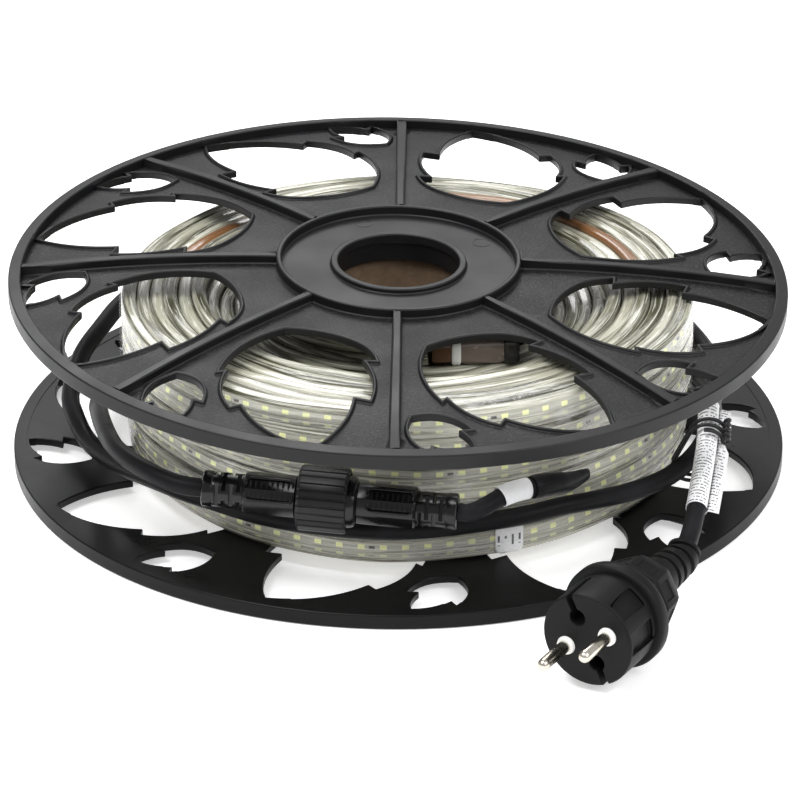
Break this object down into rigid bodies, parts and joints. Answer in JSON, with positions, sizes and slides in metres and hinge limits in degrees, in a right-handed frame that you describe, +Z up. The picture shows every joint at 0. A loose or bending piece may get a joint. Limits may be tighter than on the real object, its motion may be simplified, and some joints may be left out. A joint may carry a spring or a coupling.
{
  "type": "led strip light",
  "caption": "Clear LED strip light coiled on a round black reel with leaf-shaped openings, with a screw connector, a mains cord and a round two-pin plug",
  "frame": {"origin": "on the floor under the middle of the reel, without its cord and plug", "axes": "+Z up along the reel's axis; the connector lies on the -Y side and the plug points to -Y"},
  "size_m": [0.3101, 0.3781, 0.0845],
  "materials": {
    "lower_flange": "satin moulded black plastic, fine grain",
    "upper_flange": "moulded black plastic, grained plates between smooth ribs",
    "core_tube": "raw grey-brown wound cardboard",
    "strip_coil": "clear glossy plastic over a pale strip",
    "strip_end": "clear glossy plastic cap",
    "strip_label": "smooth white paper",
    "connector_left": "semi-gloss black plastic",
    "connector_right": "semi-gloss black plastic",
    "coupling_nut": "satin black plastic with fine ribs",
    "mains_cord": "matt black rubber",
    "strip_lead": "matt black rubber",
    "lead_label": "smooth white paper",
    "heat_shrink": "satin black shrunk sleeve",
    "cord_label": "smooth white paper",
    "twist_tie": "black plastic-coated wire",
    "plug_body": "matt black rubber",
    "pin_left": "polished nickel",
    "pin_right": "polished nickel",
    "pin_sleeve_left": "smooth white plastic",
    "pin_sleeve_right": "smooth white plastic"
  },
  "bodies": {
    "reel": {"lower_flange": "lower_flange", "upper_flange": "upper_flange", "core_tube": "core_tube", "strip_coil": "strip_coil", "strip_end": "strip_end", "strip_label": "strip_label", "connector_left": "connector_left", "connector_right": "connector_right", "mains_cord": "mains_cord", "strip_lead": "strip_lead", "lead_label": "lead_label", "heat_shrink": "heat_shrink", "cord_label": "cord_label", "twist_tie": "twist_tie", "plug_body": "plug_body", "pin_left": "pin_left", "pin_right": "pin_right", "pin_sleeve_left": "pin_sleeve_left", "pin_sleeve_right": "pin_sleeve_right"},
    "nut": {"coupling_nut": "coupling_nut"}
  },
  "joints": [
    {"name": "nut_turn", "type": "hinge", "parent": "reel", "child": "nut", "pos_m": [-0.02812, -0.12744, 0.04125], "axis": [0.9909, -0.1284, -0.04], "continuous": true}
  ]
}
